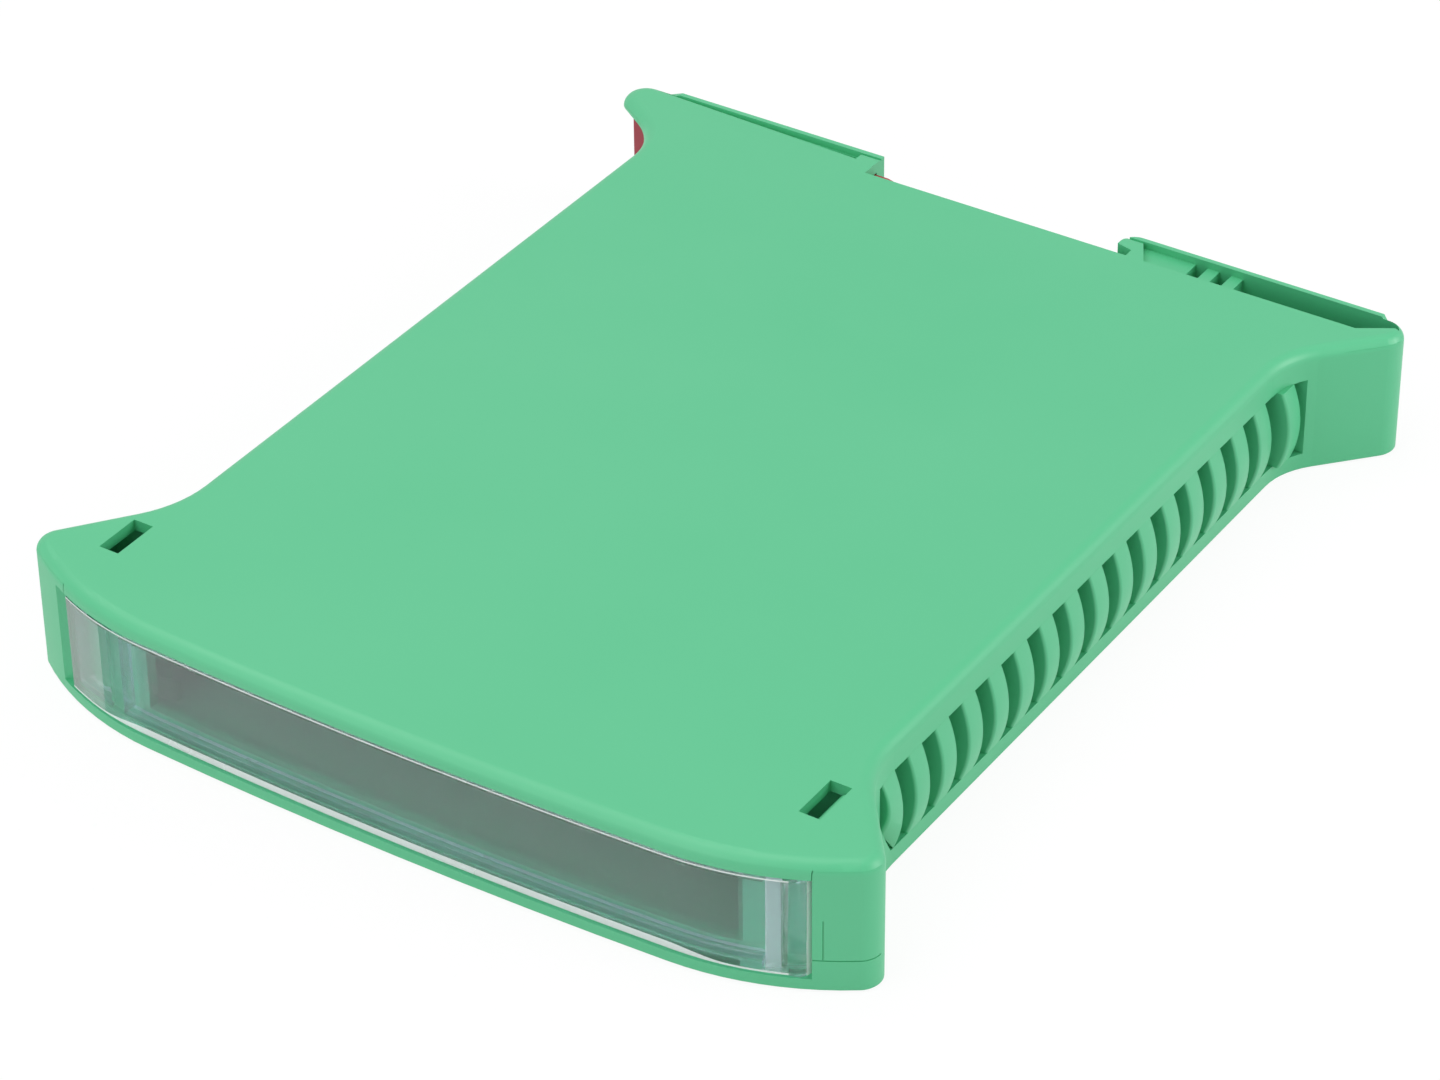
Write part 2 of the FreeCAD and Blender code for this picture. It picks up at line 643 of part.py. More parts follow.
for name, shape in NODES.items():
    solid = shape.Solids[0] if len(shape.Solids) == 1 else shape
    solid.exportStep("parts/" + name + ".step")
    box = solid.BoundBox
    print(name, "solids", len(shape.Solids), "valid", solid.isValid(), "volume", round(solid.Volume, 1),
          "x %.2f %.2f" % (box.XMin, box.XMax), "y %.2f %.2f" % (box.YMin, box.YMax),
          "z %.2f %.2f" % (box.ZMin, box.ZMax))
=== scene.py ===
"""A narrow moulded housing for one DIN rail module, dressed and lit for a studio picture.

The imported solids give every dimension. This script gives them their plastics, builds the
louvres and the clear front cover as finer pieces, and sets the floor, the lamps and the camera.
"""

from __future__ import annotations

import logging
import math
from collections.abc import Callable
from dataclasses import dataclass, field
from enum import Enum

import bmesh
import bpy
from mathutils import Matrix, Vector

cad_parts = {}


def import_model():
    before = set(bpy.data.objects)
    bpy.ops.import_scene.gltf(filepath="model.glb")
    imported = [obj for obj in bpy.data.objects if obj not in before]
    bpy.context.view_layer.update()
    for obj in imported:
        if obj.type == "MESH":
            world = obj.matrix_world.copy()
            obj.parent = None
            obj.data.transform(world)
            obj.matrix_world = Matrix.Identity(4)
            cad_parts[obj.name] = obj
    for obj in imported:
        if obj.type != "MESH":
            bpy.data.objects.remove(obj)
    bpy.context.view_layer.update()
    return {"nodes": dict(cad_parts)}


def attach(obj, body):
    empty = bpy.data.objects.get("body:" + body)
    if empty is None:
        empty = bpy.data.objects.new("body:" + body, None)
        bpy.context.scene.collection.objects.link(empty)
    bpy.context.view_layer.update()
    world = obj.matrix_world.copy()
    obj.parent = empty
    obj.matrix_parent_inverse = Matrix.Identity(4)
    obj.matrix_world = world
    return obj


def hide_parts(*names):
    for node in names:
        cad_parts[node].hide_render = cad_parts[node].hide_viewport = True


MM = 0.001
WHITE = (1, 1, 1, 1)
LOG = logging.getLogger("housing")
Section = Callable[[float], list[tuple[float, float]]]


class Body(Enum):
    """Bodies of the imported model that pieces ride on."""

    HOUSING = "housing"
    COVER = "cover"
    LATCH = "latch"


class Slot(Enum):
    """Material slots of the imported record."""

    GREEN = "green_housing"
    CLEAR = "clear_cover"
    RED = "red_latch"


class Side(Enum):
    """The two flanks, by the sign of X."""

    RIGHT = 1
    LEFT = -1


class CoverFinish(Enum):
    """Finishes of the clear cover, by their place in its list of materials: clear body, painted
    highlight, duller patch.
    """

    CLEAR = 0
    # painted highlight on the cover's edges and rims
    EDGE = 1
    PAD = 2


def linear(code: str) -> tuple[float, float, float, float]:
    """Turns an sRGB hex colour into linear light.

    Args:
        code: Colour as six hex digits, with or without a leading hash.

    Returns:
        Red, green, blue and an alpha of one.
    """
    digits = code.lstrip("#")
    channels = []
    for start in (0, 2, 4):
        value = int(digits[start:start + 2], 16) / 255
        channels.append(value / 12.92 if value <= 0.04045 else ((value + 0.055) / 1.055) ** 2.4)
    return channels[0], channels[1], channels[2], 1.0


def per_mm(size: float) -> float:
    """Scale of a noise whose features are about so many millimetres wide."""
    return 1 / (size * MM)


def quarter_turn(steps: int) -> list[float]:
    """Angles from 0 to 90 degrees in equal steps, in radians."""
    return [math.radians(90 * step / steps) for step in range(steps + 1)]


def add(tree: bpy.types.NodeTree, kind: str, settings: dict[str, object] | None = None,
        links: dict[str | int, bpy.types.NodeSocket] | None = None,
        values: dict[str | int, object] | None = None) -> bpy.types.Node:
    """Adds one node with its settings, input values and incoming links.

    Args:
        tree: Tree that gets the node.
        kind: Type name of the node.
        settings: Properties of the node.
        links: Output socket for each named or numbered input.
        values: Plain value for each named or numbered input.

    Returns:
        The new node.
    """
    node = tree.nodes.new(kind)
    for name, value in (settings or {}).items():
        setattr(node, name, value)
    for key, value in (values or {}).items():
        node.inputs[key].default_value = value
    for key, output in (links or {}).items():
        tree.links.new(output, node.inputs[key])
    return node


def fresh_material(name: str) -> tuple[bpy.types.Material, bpy.types.NodeTree]:
    """Makes an empty node material.

    Args:
        name: Name of the material.

    Returns:
        The material and its node tree.
    """
    material = bpy.data.materials.new(name)
    material.use_nodes = True
    material.node_tree.nodes.clear()
    return material, material.node_tree


@dataclass(frozen=True)
class EtchedPlastic:
    """Opaque plastic moulded in a spark-eroded tool: a fine even grain that breaks up the gloss.

    The grain of the real tool is 0.05 mm. It is drawn 0.3 mm wide here, or it would not show.
    The shade drifts slowly, over about 34 mm, as the flow of the melt leaves it.
    """

    name: str
    colour: str
    deep_colour: str
    roughness: float
    grain: float = 0.3
    grain_depth: float = 0.012
    grain_strength: float = 0.35
    flow: float = 34.0
    flow_span: tuple[float, float] = (0.3, 0.7)
    glossier: float = 0.04
    duller: float = 0.05
    ior: float = 1.53
    specular: float = 0.72

    def build(self) -> bpy.types.Material:
        """Makes the material: two close shades in slow drifts, uneven gloss and the etched grain.

        Returns:
            The finished material.
        """
        material, tree = fresh_material(self.name)
        place = add(tree, "ShaderNodeTexCoord")
        drift = add(tree, "ShaderNodeTexNoise", links={"Vector": place.outputs["Object"]},
                    values={"Scale": per_mm(self.flow), "Detail": 3.0, "Roughness": 0.5})
        # Sockets 6 and 7 of a colour mix are its two colours.
        shade = add(tree, "ShaderNodeMix", {"data_type": "RGBA"}, links={0: drift.outputs["Fac"]},
                    values={6: linear(self.colour), 7: linear(self.deep_colour)})
        gloss = add(tree, "ShaderNodeMapRange", links={"Value": drift.outputs["Fac"]},
                    values={"From Min": self.flow_span[0], "From Max": self.flow_span[1],
                            "To Min": self.roughness - self.glossier,
                            "To Max": self.roughness + self.duller})
        grain = add(tree, "ShaderNodeTexNoise", links={"Vector": place.outputs["Object"]},
                    values={"Scale": per_mm(self.grain), "Detail": 2.0, "Roughness": 0.6})
        relief = add(tree, "ShaderNodeBump", links={"Height": grain.outputs["Fac"]},
                     values={"Strength": self.grain_strength, "Distance": self.grain_depth * MM})
        skin = add(tree, "ShaderNodeBsdfPrincipled",
                   values={"IOR": self.ior, "Specular IOR Level": self.specular},
                   links={"Base Color": shade.outputs[2], "Roughness": gloss.outputs["Result"],
                          "Normal": relief.outputs["Normal"]})
        add(tree, "ShaderNodeOutputMaterial", links={"Surface": skin.outputs["BSDF"]})
        return material


@dataclass(frozen=True)
class ClearPlastic:
    """Clear plastic moulded in a polished tool: sharp reflections and bright edges. A pale, less
    clear copy of it is the cover's painted highlight.

    Handling leaves the polish uneven in patches about 9 mm wide, the size of a fingertip.
    """

    name: str
    colour: str
    smooth: float = 0.02
    dull: float = 0.08
    clear: float = 1.0
    alpha: float = 0.78
    wear: float = 9.0
    wear_span: tuple[float, float] = (0.35, 0.7)
    ior: float = 1.586

    def build(self) -> bpy.types.Material:
        """Makes the material: a clear body whose polish is a little uneven.

        Returns:
            The finished material.
        """
        material, tree = fresh_material(self.name)
        place = add(tree, "ShaderNodeTexCoord")
        wear = add(tree, "ShaderNodeTexNoise", links={"Vector": place.outputs["Object"]},
                   values={"Scale": per_mm(self.wear), "Detail": 3.0})
        polish = add(tree, "ShaderNodeMapRange", links={"Value": wear.outputs["Fac"]},
                     values={"From Min": self.wear_span[0], "From Max": self.wear_span[1],
                             "To Min": self.smooth, "To Max": self.dull})
        skin = add(tree, "ShaderNodeBsdfPrincipled", links={"Roughness": polish.outputs["Result"]},
                   values={"Base Color": linear(self.colour), "IOR": self.ior,
                           "Transmission Weight": self.clear, "Alpha": self.alpha})
        add(tree, "ShaderNodeOutputMaterial", links={"Surface": skin.outputs["BSDF"]})
        return material


# ABS from a spark-eroded tool: the etched grain spreads the lamps into a broad, soft sheen.
GREEN_ABS = EtchedPlastic("green_moulded_abs", "#51C18B", "#4DBC86", roughness=0.46)
# Polyamide from a plainer tool: waxy, with a slightly tighter sheen than the housing.
RED_POLYAMIDE = EtchedPlastic("red_moulded_polyamide", "#B02338", "#A41E33", roughness=0.40,
                              grain=0.4)
# Polycarbonate from a polished tool: sharp reflections, and a cool tint of what lies behind it.
CLEAR_POLYCARBONATE = ClearPlastic("clear_moulded_polycarbonate", "#CCE5F4")
# The same moulding, duller, paler and less clear near the free end: it greys what lies behind it.
DULL_POLYCARBONATE = ClearPlastic("polycarbonate_dull_pad", "#D9E2E4", smooth=0.12, dull=0.20,
                                  clear=0.80, alpha=1.0)
# Painted highlight: a pale, nearly opaque copy on the rounded edges and rims, whitening their
# reflections.
HIGHLIGHT_PAINT_POLYCARBONATE = ClearPlastic("polycarbonate_painted_highlight", "#F4FBFA", smooth=0.22, dull=0.30,
                                 clear=0.25, alpha=1.0)


def mesh_object(name: str, mesh: bpy.types.Mesh) -> bpy.types.Object:
    """Puts a mesh into the scene as an object at the origin.

    Args:
        name: Name of the object.
        mesh: Its mesh, with its place in its points.

    Returns:
        The new object.
    """
    made = bpy.data.objects.new(name, mesh)
    bpy.context.scene.collection.objects.link(made)
    return made


def closed_mesh(name: str, form: bmesh.types.BMesh) -> bpy.types.Mesh:
    """Turns a closed form into a mesh whose faces point outwards.

    Args:
        name: Name of the mesh.
        form: The form, which is freed.

    Returns:
        The new mesh.
    """
    bmesh.ops.recalc_face_normals(form, faces=form.faces)
    mesh = bpy.data.meshes.new(name)
    form.to_mesh(mesh)
    form.free()
    return mesh


def settled(source: bpy.types.Object) -> bpy.types.Object:
    """Turns an object with modifiers into one with a plain mesh, which takes its place.

    Args:
        source: Object whose modifiers are worked out and removed.

    Returns:
        An object of the same name with the result as its mesh.
    """
    graph = bpy.context.evaluated_depsgraph_get()
    result = bpy.data.meshes.new_from_object(source.evaluated_get(graph), depsgraph=graph)
    name = source.name
    bpy.data.objects.remove(source)
    return mesh_object(name, result)


def smooth_by_angle(piece: bpy.types.Object, degrees: float) -> None:
    """Shades a piece smooth, apart from edges that are sharper than an angle.

    Args:
        piece: Mesh object to shade.
        degrees: Smallest angle between faces that stays a sharp edge.
    """
    piece.data.shade_smooth()
    piece.data.set_sharp_from_angle(angle=math.radians(degrees))


@dataclass
class PlanCurve:
    """The curved front and the flanks of the housing in plan, in millimetres."""

    front: float = -68.9
    front_radius: float = 695.0
    shoulder_radius: float = 40.0
    corner_x: float = 55.35
    corner_y: float = -58.55
    corner_radius: float = 2.8
    flank: float = 48.4
    rear_flare_y: float = 49.86
    rear_flare_radius: float = 10.7

    def __post_init__(self) -> None:
        """Works out where the wide front arc meets the tighter shoulder arcs."""
        centre_y = self.front + self.front_radius
        apart = math.hypot(self.corner_x, self.corner_y - centre_y)
        to_big = self.front_radius - self.shoulder_radius
        to_small = self.shoulder_radius - self.corner_radius
        along = (to_big ** 2 - to_small ** 2 + apart ** 2) / (2 * apart)
        across = math.sqrt(max(to_big ** 2 - along ** 2, 0))
        unit_x = self.corner_x / apart
        unit_y = (self.corner_y - centre_y) / apart
        self.shoulder_x = unit_x * along + unit_y * across
        self.shoulder_y = centre_y + unit_y * along - unit_x * across
        self.change_x = self.shoulder_x * self.front_radius / to_big

    def front_y(self, x: float) -> float:
        """Depth of the front face.

        Args:
            x: Distance from the middle of the housing.

        Returns:
            Y of the outline in front.
        """
        reach = abs(x)
        if reach <= self.change_x:
            return self.front + self.front_radius - math.sqrt(self.front_radius ** 2 - reach ** 2)
        rise = math.sqrt(self.shoulder_radius ** 2 - (reach - self.shoulder_x) ** 2)
        return self.shoulder_y - rise


@dataclass
class VentGrille:
    """Strip of louvre ribs in one flank, in millimetres.

    The ribs have soft leading edges and crisp trailing ones. A frame behind the wall holds them.
    """

    side: Side
    plan: PlanCurve
    start: float
    end: float
    low: float = 2.4
    high: float = 13.4
    pitch: float = 5.88
    width: float = 3.0
    first: float = 1.0
    bulge: float = 1.2
    edge_round: float = 0.4
    edge_steps: int = 8
    crisp: float = 0.12
    crisp_ease: float = 0.3
    inner: float = 45.3
    corner_rise: float = 5.8
    corner_run: float = 3.3
    frame_thickness: float = 1.2
    frame_low: float = 1.75
    frame_lap: float = 0.9
    frame_rim: float = 0.8
    rows: int = 28
    sharp_angle: float = 30.0

    def count(self) -> int:
        """Number of ribs that the opening takes."""
        return int((self.end - self.start - self.first - self.width) / self.pitch) + 1

    def section(self) -> list[tuple[float, float]]:
        """Draws the section of a rib.

        Returns:
            Depth behind the outer face and place along the flank, for each of its points.
        """
        back = self.plan.flank - self.inner
        points = [(back, -self.width)]
        for turn in quarter_turn(self.edge_steps):
            points.append((self.edge_round * (1 - math.sin(turn)),
                           -self.width + self.edge_round * (1 - math.cos(turn))))
        eased = self.crisp * self.crisp_ease
        return points + [(0.0, -self.crisp), (eased, -eased), (self.crisp, 0.0), (back, 0.0)]

    def rib_mesh(self) -> bpy.types.Mesh:
        """Builds one rib on the straight part of the flank.

        Returns:
            Its mesh, with the trailing edge at Y = 0.
        """
        form = bmesh.new()
        middle = (self.low + self.high) / 2
        half = (self.high - self.low) / 2
        section = self.section()
        size = len(section)
        loops = []
        for row in range(self.rows + 1):
            z = self.low + (self.high - self.low) * row / self.rows
            swell = self.bulge * (1 - ((z - middle) / half) ** 2)
            loop = []
            for index, (depth, y) in enumerate(section):
                at_back = index in (0, size - 1)
                x = self.inner if at_back else self.plan.flank + swell - depth
                loop.append(form.verts.new((x * MM, y * MM, z * MM)))
            loops.append(loop)
        for lower, upper in zip(loops, loops[1:]):
            for i in range(size):
                j = (i + 1) % size
                form.faces.new((lower[i], lower[j], upper[j], upper[i]))
        form.faces.new(list(reversed(loops[0])))
        form.faces.new(loops[-1])
        return closed_mesh("louvre_rib", form)

    def rib_tree(self, material: bpy.types.Material) -> bpy.types.NodeTree:
        """Makes the tree that repeats a rib and fits the row to the flare and the cut corner.

        Args:
            material: Finish of the ribs.

        Returns:
            The node group, with named inputs for its sizes.
        """
        tree = bpy.data.node_groups.new("louvre_row", "GeometryNodeTree")
        face = tree.interface
        face.new_socket("Rib", in_out="INPUT", socket_type="NodeSocketGeometry")
        face.new_socket("Count", in_out="INPUT", socket_type="NodeSocketInt")
        for name in ("Start", "Pitch", "Flare Start", "Flare Radius", "Corner Start",
                     "Corner Run", "Corner Rise", "Low", "High"):
            face.new_socket(name, in_out="INPUT", socket_type="NodeSocketFloat")
        face.new_socket("Row", in_out="OUTPUT", socket_type="NodeSocketGeometry")
        source = add(tree, "NodeGroupInput").outputs

        def calc(kind: str, first: bpy.types.NodeSocket | float,
                 second: bpy.types.NodeSocket | float | None = None) -> bpy.types.NodeSocket:
            """Adds one step of arithmetic.

            Args:
                kind: Operation of the step.
                first: Its first socket or number.
                second: Its second socket or number, where it has one.

            Returns:
                The socket with the result.
            """
            node = add(tree, "ShaderNodeMath", {"operation": kind})
            for place_in_step, item in enumerate((first, second)):
                if isinstance(item, bpy.types.NodeSocket):
                    tree.links.new(item, node.inputs[place_in_step])
                elif item is not None:
                    node.inputs[place_in_step].default_value = item
            return node.outputs[0]

        # A row of points along the flank, pushed out where the flank runs into the flare.
        first_place = add(tree, "ShaderNodeCombineXYZ", links={"Y": source["Start"]})
        step = add(tree, "ShaderNodeCombineXYZ", links={"Y": source["Pitch"]})
        row = add(tree, "GeometryNodeMeshLine", {"mode": "OFFSET"},
                  links={"Count": source["Count"], "Start Location": first_place.outputs[0],
                         "Offset": step.outputs[0]})
        at_rib = add(tree, "GeometryNodeInputPosition")
        place = add(tree, "ShaderNodeSeparateXYZ", links={0: at_rib.outputs[0]})
        run = calc("MAXIMUM", calc("SUBTRACT", place.outputs["Y"], source["Flare Start"]), 0.0)
        radius = source["Flare Radius"]
        square = calc("SUBTRACT", calc("MULTIPLY", radius, radius), calc("MULTIPLY", run, run))
        spread = add(tree, "ShaderNodeCombineXYZ",
                     links={"X": calc("SUBTRACT", radius, calc("SQRT", square))})
        fitted = add(tree, "GeometryNodeSetPosition",
                     links={"Geometry": row.outputs[0], "Offset": spread.outputs[0]})
        copies = add(tree, "GeometryNodeInstanceOnPoints",
                     links={"Points": fitted.outputs[0], "Instance": source["Rib"]})
        real = add(tree, "GeometryNodeRealizeInstances", links={"Geometry": copies.outputs[0]})

        # The slanting lower corner of the vent lifts the foot of the first rib.
        at_point = add(tree, "GeometryNodeInputPosition")
        point = add(tree, "ShaderNodeSeparateXYZ", links={0: at_point.outputs[0]})
        corner_end = calc("ADD", source["Corner Start"], source["Corner Run"])
        behind = calc("SUBTRACT", corner_end, point.outputs["Y"])
        share = calc("DIVIDE", calc("MAXIMUM", behind, 0.0), source["Corner Run"])
        rise = calc("MULTIPLY", share, source["Corner Rise"])
        tall = calc("SUBTRACT", source["High"], source["Low"])
        above = calc("DIVIDE", calc("SUBTRACT", source["High"], point.outputs["Z"]), tall)
        lift = add(tree, "ShaderNodeCombineXYZ", links={"Z": calc("MULTIPLY", rise, above)})
        cut = add(tree, "GeometryNodeSetPosition",
                  links={"Geometry": real.outputs[0], "Offset": lift.outputs[0]})
        dressed = add(tree, "GeometryNodeSetMaterial", links={"Geometry": cut.outputs[0]},
                      values={"Material": material})
        add(tree, "NodeGroupOutput", links={0: dressed.outputs[0]})
        return tree

    def frame_mesh(self) -> bpy.types.Mesh:
        """Builds the flat frame behind the wall that carries the ribs.

        Returns:
            Its mesh.
        """
        form = bmesh.new()
        outer = (self.start - self.frame_lap, self.end + self.frame_lap,
                 self.frame_low, self.high + self.frame_lap)
        inner = (self.start + self.frame_lap, self.end - self.frame_lap,
                 self.low + self.frame_rim, self.high - self.frame_rim)
        rings = []
        for x in (self.inner, self.inner + self.frame_thickness):
            for y0, y1, z0, z1 in (outer, inner):
                corners = ((y0, z0), (y1, z0), (y1, z1), (y0, z1))
                rings.append([form.verts.new((x * MM, y * MM, z * MM)) for y, z in corners])
        for first, second in ((0, 1), (2, 3), (0, 2), (1, 3)):
            for i in range(4):
                j = (i + 1) % 4
                form.faces.new((rings[first][i], rings[first][j],
                                rings[second][j], rings[second][i]))
        return closed_mesh("louvre_frame", form)

    def build(self, finish: bpy.types.Material) -> bpy.types.Object:
        """Builds the strip for its side.

        Args:
            finish: Material of the strip.

        Returns:
            The finished piece, riding on the housing.
        """
        word = self.side.name.lower()
        ribs = mesh_object(word + "_louvres", self.rib_mesh())
        modifier = ribs.modifiers.new("row", "NODES")
        modifier.node_group = self.rib_tree(finish)
        numbers = {
            "Count": self.count(),
            "Start": (self.start + self.first + self.width) * MM,
            "Pitch": self.pitch * MM,
            "Flare Start": self.plan.rear_flare_y * MM,
            "Flare Radius": self.plan.rear_flare_radius * MM,
            "Corner Start": self.start * MM,
            "Corner Run": self.corner_run * MM,
            "Corner Rise": self.corner_rise * MM,
            "Low": self.low * MM,
            "High": self.high * MM,
        }
        for item in modifier.node_group.interface.items_tree:
            if item.name in numbers:
                modifier[item.identifier] = numbers[item.name]
        ribs = settled(ribs)
        form = bmesh.new()
        form.from_mesh(ribs.data)
        form.from_mesh(self.frame_mesh())
        if self.side is Side.LEFT:
            bmesh.ops.transform(form, matrix=Matrix.Scale(-1, 4, (1, 0, 0)), verts=form.verts)
            bmesh.ops.reverse_faces(form, faces=form.faces)
        for face in form.faces:
            face.material_index = 0
        form.to_mesh(ribs.data)
        form.free()
        ribs.data.materials.clear()
        ribs.data.materials.append(finish)
        smooth_by_angle(ribs, self.sharp_angle)
        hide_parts(word + "_vent_grille")
        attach(ribs, Body.HOUSING.value)
        return ribs


@dataclass
class FrontCover:
    """Clear cover over the front recess, in millimetres: a curved channel with a hinge barrel.

    The sides of the plate's section are numbered from its lowest front point: 0 to 3 round the
    lower edge, 4 is the face and 5 the line along the upper edge. Side 2 of a band is the rim
    along its upper rear edge, and side 2 of the web its rear face. The rounded lower edge, the
    upper line, the lower flange's rim, the bevelled edges and the barrel's side by the post carry
    a painted highlight, and the web's rear face a painted reflection. The finishes are listed in
    the order of CoverFinish.
    """

    plan: PlanCurve
    low: float = 1.85
    high: float = 14.93
    left: float = -49.65
    hinge_x: float = 50.05
    hinge_y: float = -62.697
    set_back: float = 0.1
    plate: float = 1.5
    # sides of the plate painted as highlights: the rounded lower edge and the line along the upper
    # edge
    plate_bright: tuple[int, ...] = (0, 1, 2, 3, 5)
    plate_face: int = 4
    flange: float = 1.1
    flange_rim: float = 0.5
    # painted highlight on the lower flange's rear rim, and painted reflection on the web's rear
    # face
    rim_bright: tuple[int, ...] = (2,)
    depth: float = 3.5
    barrel: float = 1.9
    pin: float = 0.9
    pin_low: float = 0.8
    pin_high: float = 16.1
    bar_sides: int = 64
    # barrel faces turned further towards the post than this get the painted highlight
    bar_bright: float = 0.87
    edge: float = 0.14
    edge_steps: int = 2
    edge_angle: float = 40.0
    sharp_angle: float = 35.0
    round_full: float = 1.1
    round_least: float = 0.3
    round_depth: float = 0.16
    round_end: float = 44.0
    round_run: float = 8.0
    round_steps: int = 4
    # height of the line along the upper edge that is painted as a highlight
    upper_line: float = 0.06
    web_start: float = 47.0
    web_end: float = 48.6
    web_rise: float = 1.5
    overlap: float = 0.2
    pad_end: float = -43.2
    rib_span: tuple[float, float] = (-42.2, -40.2)
    plate_steps: int = 124
    flange_steps: int = 118
    web_steps: int = 8
    short_steps: int = 2
    finishes: list[bpy.types.Material] = field(default_factory=list)

    def point(self, x: float, inward: float, z: float) -> Vector:
        """Point of the cover at a distance behind its outer skin."""
        return Vector((x * MM, (self.plan.front_y(x) + self.set_back + inward) * MM, z * MM))

    def piece(self, name: str, form: bmesh.types.BMesh) -> bpy.types.Object:
        """Turns a closed form into an object with the finishes of the cover.

        Args:
            name: Name of the object.
            form: Its closed form, which is freed.

        Returns:
            The new object.
        """
        mesh = closed_mesh(name, form)
        for finish in self.finishes:
            mesh.materials.append(finish)
        return mesh_object(name, mesh)

    def swept(self, name: str, span: tuple[float, float], steps: int, section: Section,
              bright: tuple[int, ...] = (), pad: int | None = None) -> bpy.types.Object:
        """Sweeps a section along the curved front.

        Args:
            name: Name of the object.
            span: First and last X.
            steps: Number of straight pieces between them.
            section: Gives the depths and heights of the section at an X.
            bright: Numbers of the section's sides that are painted as highlights.
            pad: Number of the side that is dull near the free end.

        Returns:
            The closed sweep.
        """
        form = bmesh.new()
        loops = []
        for index in range(steps + 1):
            x = span[0] + (span[1] - span[0]) * index / steps
            loops.append([form.verts.new(self.point(x, d, z)) for d, z in section(x)])
        size = len(loops[0])
        for near, far in zip(loops, loops[1:]):
            for i in range(size):
                j = (i + 1) % size
                face = form.faces.new((near[i], near[j], far[j], far[i]))
                # painted highlight on the chosen sides
                if i in bright:
                    face.material_index = CoverFinish.EDGE.value
                elif i == pad and far[0].co.x < self.pad_end * MM:
                    face.material_index = CoverFinish.PAD.value
        form.faces.new(list(reversed(loops[0])))
        form.faces.new(loops[-1])
        return self.piece(name, form)

    def plate_section(self, x: float) -> list[tuple[float, float]]:
        """Draws the section of the plate, whose lower edge is rounded, less so at the shoulders.

        Args:
            x: Place along the front.

        Returns:
            Depth and height of each of its points.
        """
        share = min(max((self.round_end - abs(x)) / self.round_run, 0.0), 1.0)
        eased = share * share * (3 - 2 * share)
        rise = self.round_least + (self.round_full - self.round_least) * eased
        points = []
        for turn in quarter_turn(self.round_steps):
            points.append((self.round_depth * rise / self.round_full * (1 - math.sin(turn)),
                           self.low + rise * (1 - math.cos(turn))))
        return points + [(0.0, self.high - self.edge - self.upper_line), (0.0, self.high),
                         (self.plate, self.high), (self.plate, self.low)]

    def web_section(self, x: float) -> list[tuple[float, float]]:
        """Draws the section of the web that thickens the plate towards the hinge.

        Args:
            x: Place along the front.

        Returns:
            Depth and height of each of its points.
        """
        share = (x - self.web_start) / (self.web_end - self.web_start)
        back = self.plate + self.web_rise * share
        front = self.plate - self.overlap
        return [(front, self.low), (front, self.high), (back, self.high), (back, self.low)]

    def band(self, low: float, high: float) -> Section:
        """Draws the section of a flange or wall behind the plate, the same at every X.

        Args:
            low: Height of its lower face.
            high: Height of its upper face.

        Returns:
            A function that gives the section at an X.
        """
        front = self.plate - self.overlap
        points = [(front, low), (front, high), (self.depth - self.flange_rim, high),
                  (self.depth, high), (self.depth, low)]
        return lambda x: points

    def round_bar(self, radius: float, low: float, high: float, bright: bool) -> bpy.types.Object:
        """Builds an upright bar on the hinge axis.

        Args:
            radius: Its radius.
            low: Height of its lower end.
            high: Height of its upper end.
            bright: Whether the side next to the post is painted as a highlight.

        Returns:
            A mesh object with the bar.
        """
        form = bmesh.new()
        bmesh.ops.create_cone(form, cap_ends=True, segments=self.bar_sides, radius1=radius * MM,
                              radius2=radius * MM, depth=(high - low) * MM)
        middle = Vector((self.hinge_x, self.hinge_y, (low + high) / 2)) * MM
        bmesh.ops.translate(form, verts=form.verts, vec=middle)
        form.normal_update()
        for face in form.faces:
            # painted highlight on the barrel's side next to the post
            if bright and face.normal.x > self.bar_bright:
                face.material_index = CoverFinish.EDGE.value
        return self.piece("hinge_bar", form)

    def parts(self) -> list[bpy.types.Object]:
        """Builds what is joined to the plate.

        Returns:
            Flanges, closed end, rib, web and hinge bars, in the order in which they are joined.
        """
        stop = self.hinge_x - self.barrel - self.plate
        full = self.band(self.low, self.high)
        return [
            self.swept("upper_flange", (self.left, stop), self.flange_steps,
                       self.band(self.high - self.flange, self.high)),
            self.swept("lower_flange", (self.left, stop), self.flange_steps,
                       self.band(self.low, self.low + self.flange), self.rim_bright),
            self.swept("free_end", (self.left, self.left + self.plate), self.short_steps, full),
            self.swept("rib", self.rib_span, self.short_steps, full),
            self.swept("web", (self.web_start, self.web_end), self.web_steps, self.web_section,
                       self.rim_bright),
            self.round_bar(self.barrel, self.low, self.high, True),
            self.round_bar(self.pin, self.pin_low, self.pin_high, False),
        ]

    def build(self) -> bpy.types.Object:
        """Builds the cover.

        Returns:
            The finished piece, riding on the cover's body.
        """
        cover = self.swept("clear_front_cover", (self.left, self.hinge_x), self.plate_steps,
                           self.plate_section, self.plate_bright, self.plate_face)
        joined = self.parts()
        for extra in joined:
            union = cover.modifiers.new("union", "BOOLEAN")
            union.operation = "UNION"
            union.solver = "EXACT"
            union.object = extra
        # The bevelled edges get the painted highlight, for the bright lines along the cover's
        # edges.
        eased = cover.modifiers.new("eased", "BEVEL")
        eased.width = self.edge * MM
        eased.segments = self.edge_steps
        eased.limit_method = "ANGLE"
        eased.angle_limit = math.radians(self.edge_angle)
        eased.material = CoverFinish.EDGE.value
        cover = settled(cover)
        for extra in joined:
            bpy.data.objects.remove(extra)
        smooth_by_angle(cover, self.sharp_angle)
        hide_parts("front_cover")
        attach(cover, Body.COVER.value)
